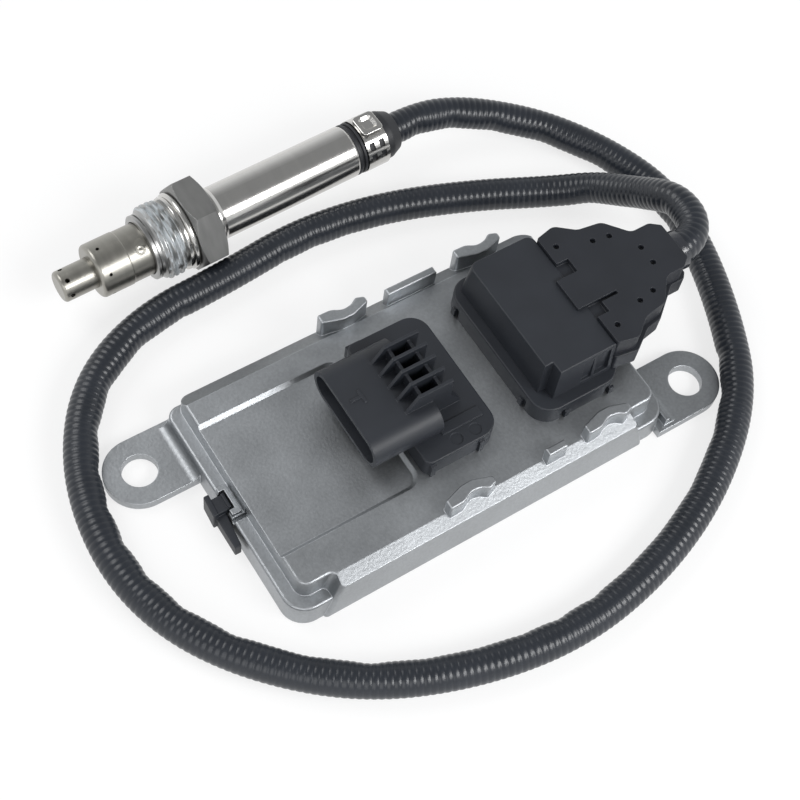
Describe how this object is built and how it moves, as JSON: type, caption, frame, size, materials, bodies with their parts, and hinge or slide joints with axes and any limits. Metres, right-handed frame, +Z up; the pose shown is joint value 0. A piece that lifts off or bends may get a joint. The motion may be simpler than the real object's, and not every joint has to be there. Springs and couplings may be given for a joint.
{
  "type": "nitrogen oxide sensor",
  "caption": "Exhaust nitrogen oxide sensor: diecast control unit with mounting lugs and a power socket, joined by a corrugated conduit to a threaded steel probe.",
  "frame": {"origin": "midway between the two lug holes, on the mounting plane", "axes": "+X along the casting towards the conduit's exit, +Y towards the probe's side, +Z up off the mounting plane"},
  "size_m": [0.1857, 0.155, 0.0314],
  "materials": {
    "housing": "satin as-cast die casting",
    "bottom_cover": "pressed sheet",
    "cover_seal": "silicone rubber",
    "circuit_board": "printed circuit board with solder mask",
    "processor_chip": "moulded package",
    "heater_driver": "moulded package",
    "supply_capacitor": "drawn can",
    "supply_choke": "moulded package",
    "power_socket": "moulded glass-filled nylon",
    "power_socket_seal": "silicone rubber",
    "probe_header": "moulded glass-filled nylon",
    "probe_header_seal": "silicone rubber",
    "probe_plug": "moulded glass-filled nylon",
    "plug_seal": "silicone rubber",
    "hood_upper": "moulded glass-filled nylon",
    "hood_lower": "moulded glass-filled nylon",
    "hood_leads": "insulated wire",
    "edge_clip": "moulded glass-filled nylon",
    "conduit": "corrugated nylon tubing",
    "conduit_wrap": "glossy shrunk film",
    "inner_protection_tube": "drawn stainless steel",
    "outer_protection_tube": "drawn stainless steel",
    "hex_body": "machined stainless steel, dull flats",
    "sealing_ring": "polished stainless steel",
    "probe_sleeve": "polished stainless steel",
    "sensing_element": "fired ceramic",
    "front_bush": "fired ceramic",
    "talc_packing": "pressed talc powder",
    "rear_bush": "fired ceramic",
    "contact_holder": "fired ceramic",
    "probe_leads": "high-temperature insulated wire",
    "cable_grommet": "moulded rubber",
    "conduit_boot": "moulded rubber",
    "band_clamp": "polished stainless steel",
    "board_screw_1": "zinc-plated steel",
    "power_blade_1": "tinned copper alloy",
    "board_screw_2": "zinc-plated steel",
    "power_blade_2": "tinned copper alloy",
    "board_screw_3": "zinc-plated steel",
    "power_blade_3": "tinned copper alloy",
    "board_screw_4": "zinc-plated steel",
    "power_blade_4": "tinned copper alloy",
    "header_pin_1": "tinned copper alloy",
    "header_pin_2": "tinned copper alloy",
    "header_pin_3": "tinned copper alloy",
    "header_pin_4": "tinned copper alloy",
    "header_pin_5": "tinned copper alloy",
    "header_pin_6": "tinned copper alloy",
    "header_pin_7": "tinned copper alloy",
    "header_pin_8": "tinned copper alloy"
  },
  "bodies": {
    "root": {"housing": "housing", "bottom_cover": "bottom_cover", "cover_seal": "cover_seal", "circuit_board": "circuit_board", "processor_chip": "processor_chip", "heater_driver": "heater_driver", "supply_capacitor": "supply_capacitor", "supply_choke": "supply_choke", "power_socket": "power_socket", "power_socket_seal": "power_socket_seal", "probe_header": "probe_header", "probe_header_seal": "probe_header_seal", "probe_plug": "probe_plug", "plug_seal": "plug_seal", "hood_upper": "hood_upper", "hood_lower": "hood_lower", "hood_leads": "hood_leads", "edge_clip": "edge_clip", "conduit": "conduit", "conduit_wrap": "conduit_wrap", "inner_protection_tube": "inner_protection_tube", "outer_protection_tube": "outer_protection_tube", "hex_body": "hex_body", "sealing_ring": "sealing_ring", "probe_sleeve": "probe_sleeve", "sensing_element": "sensing_element", "front_bush": "front_bush", "talc_packing": "talc_packing", "rear_bush": "rear_bush", "contact_holder": "contact_holder", "probe_leads": "probe_leads", "cable_grommet": "cable_grommet", "conduit_boot": "conduit_boot", "band_clamp": "band_clamp", "board_screw_1": "board_screw_1", "power_blade_1": "power_blade_1", "board_screw_2": "board_screw_2", "power_blade_2": "power_blade_2", "board_screw_3": "board_screw_3", "power_blade_3": "power_blade_3", "board_screw_4": "board_screw_4", "power_blade_4": "power_blade_4", "header_pin_1": "header_pin_1", "header_pin_2": "header_pin_2", "header_pin_3": "header_pin_3", "header_pin_4": "header_pin_4", "header_pin_5": "header_pin_5", "header_pin_6": "header_pin_6", "header_pin_7": "header_pin_7", "header_pin_8": "header_pin_8"}
  },
  "joints": []
}
